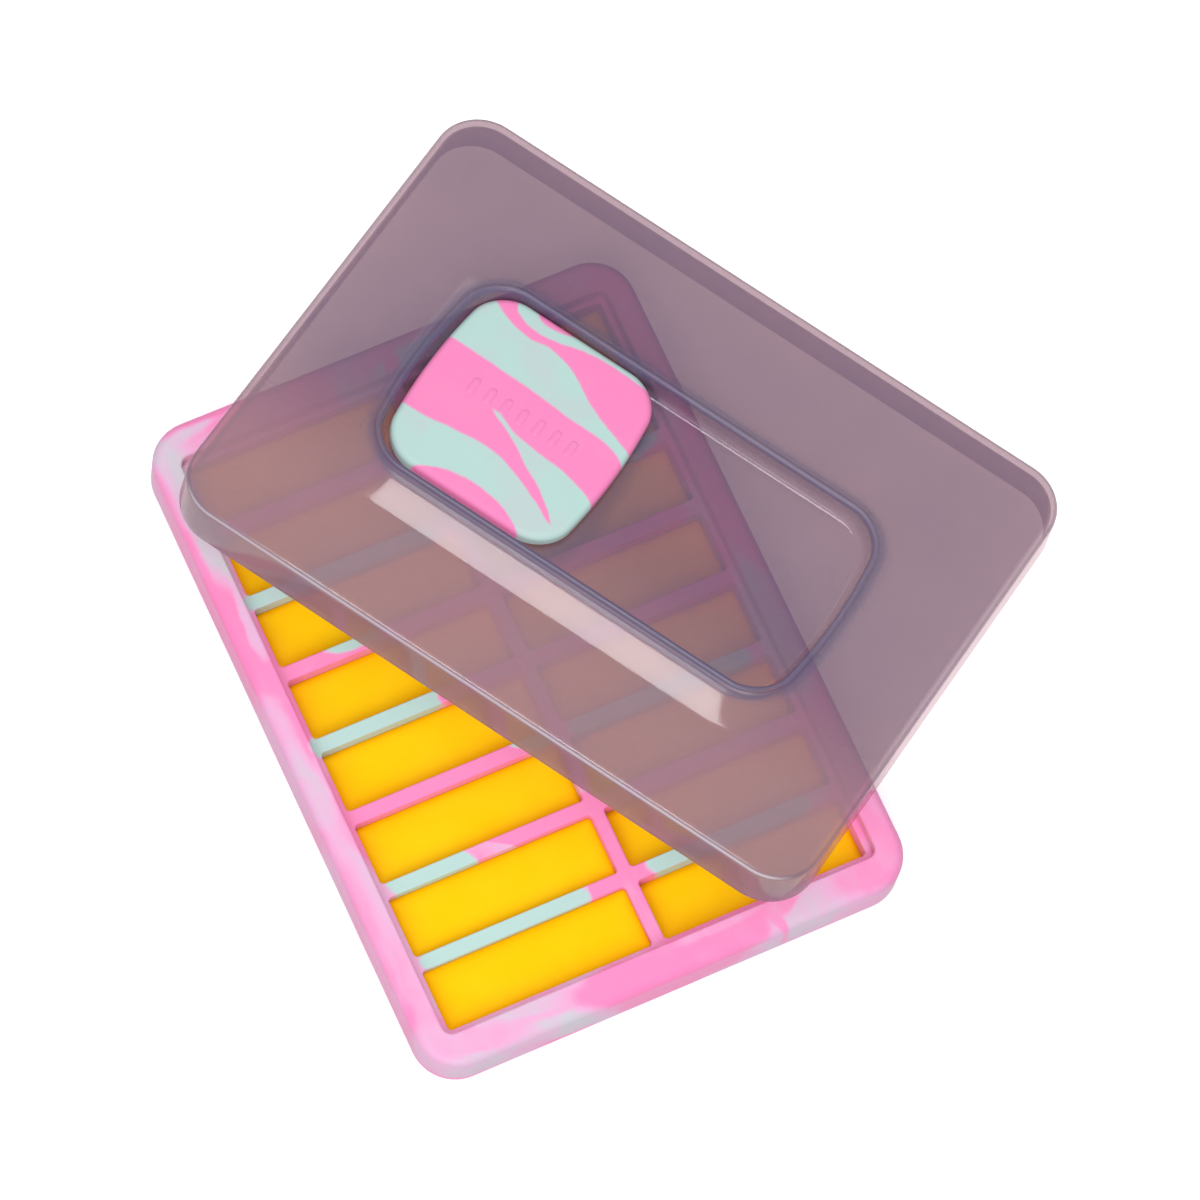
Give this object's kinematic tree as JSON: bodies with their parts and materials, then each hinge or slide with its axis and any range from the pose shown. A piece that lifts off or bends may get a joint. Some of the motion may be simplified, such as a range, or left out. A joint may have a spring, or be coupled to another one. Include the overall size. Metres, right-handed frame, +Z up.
{
  "type": "silicone mould tray with lid",
  "caption": "Silicone mould tray with bar cells, cast bars, a translucent lid leaning on it and a square scraper in the lid's pocket.",
  "frame": {"origin": "centre of the tray's flat underside", "axes": "+X across the two columns of cells, +Y along the rows of cells, +Z up out of the cells"},
  "size_m": [0.2539, 0.2787, 0.0413],
  "materials": {
    "tray_silicone": "matt marbled silicone, pink and pale mint",
    "scraper_silicone": "matt marbled silicone, pink and pale mint",
    "lid_plastic": "glossy translucent smoke-mauve plastic",
    "bar_casting": "satin translucent yellow"
  },
  "bodies": {
    "tray": {"tray": "tray_silicone"},
    "lid": {"lid": "lid_plastic"},
    "scraper": {"scraper": "scraper_silicone"},
    "bar_left_1": {"bar_left_1": "bar_casting"},
    "bar_left_2": {"bar_left_2": "bar_casting"},
    "bar_left_3": {"bar_left_3": "bar_casting"},
    "bar_left_4": {"bar_left_4": "bar_casting"},
    "bar_left_5": {"bar_left_5": "bar_casting"},
    "bar_left_6": {"bar_left_6": "bar_casting"},
    "bar_left_7": {"bar_left_7": "bar_casting"},
    "bar_left_8": {"bar_left_8": "bar_casting"},
    "bar_right_1": {"bar_right_1": "bar_casting"},
    "bar_right_2": {"bar_right_2": "bar_casting"},
    "bar_right_3": {"bar_right_3": "bar_casting"},
    "bar_right_4": {"bar_right_4": "bar_casting"},
    "bar_right_5": {"bar_right_5": "bar_casting"},
    "bar_right_6": {"bar_right_6": "bar_casting"},
    "bar_right_7": {"bar_right_7": "bar_casting"},
    "bar_right_8": {"bar_right_8": "bar_casting"}
  },
  "joints": [
    {"name": "lid_lift", "type": "slide", "parent": "tray", "child": "lid", "axis": [0, 0, 1], "range_m": [0, 0.08]},
    {"name": "scraper_lift", "type": "slide", "parent": "lid", "child": "scraper", "axis": [0.1145, 0.0761, 0.9905], "range_m": [0, 0.03]},
    {"name": "bar_left_1_lift", "type": "slide", "parent": "tray", "child": "bar_left_1", "axis": [0, 0, 1], "range_m": [0, 0.05]},
    {"name": "bar_left_2_lift", "type": "slide", "parent": "tray", "child": "bar_left_2", "axis": [0, 0, 1], "range_m": [0, 0.05]},
    {"name": "bar_left_3_lift", "type": "slide", "parent": "tray", "child": "bar_left_3", "axis": [0, 0, 1], "range_m": [0, 0.01]},
    {"name": "bar_left_4_lift", "type": "slide", "parent": "tray", "child": "bar_left_4", "axis": [0, 0, 1], "range_m": [0, 0.01]},
    {"name": "bar_left_5_lift", "type": "slide", "parent": "tray", "child": "bar_left_5", "axis": [0, 0, 1], "range_m": [0, 0.01]},
    {"name": "bar_left_6_lift", "type": "slide", "parent": "tray", "child": "bar_left_6", "axis": [0, 0, 1], "range_m": [0, 0.01]},
    {"name": "bar_left_7_lift", "type": "slide", "parent": "tray", "child": "bar_left_7", "axis": [0, 0, 1], "range_m": [0, 0.01]},
    {"name": "bar_left_8_lift", "type": "slide", "parent": "tray", "child": "bar_left_8", "axis": [0, 0, 1], "range_m": [0, 0.01]},
    {"name": "bar_right_1_lift", "type": "slide", "parent": "tray", "child": "bar_right_1", "axis": [0, 0, 1], "range_m": [0, 0.01]},
    {"name": "bar_right_2_lift", "type": "slide", "parent": "tray", "child": "bar_right_2", "axis": [0, 0, 1], "range_m": [0, 0.01]},
    {"name": "bar_right_3_lift", "type": "slide", "parent": "tray", "child": "bar_right_3", "axis": [0, 0, 1], "range_m": [0, 0.01]},
    {"name": "bar_right_4_lift", "type": "slide", "parent": "tray", "child": "bar_right_4", "axis": [0, 0, 1], "range_m": [0, 0.01]},
    {"name": "bar_right_5_lift", "type": "slide", "parent": "tray", "child": "bar_right_5", "axis": [0, 0, 1], "range_m": [0, 0.01]},
    {"name": "bar_right_6_lift", "type": "slide", "parent": "tray", "child": "bar_right_6", "axis": [0, 0, 1], "range_m": [0, 0.01]},
    {"name": "bar_right_7_lift", "type": "slide", "parent": "tray", "child": "bar_right_7", "axis": [0, 0, 1], "range_m": [0, 0.009]},
    {"name": "bar_right_8_lift", "type": "slide", "parent": "tray", "child": "bar_right_8", "axis": [0, 0, 1], "range_m": [0, 0.009]}
  ]
}
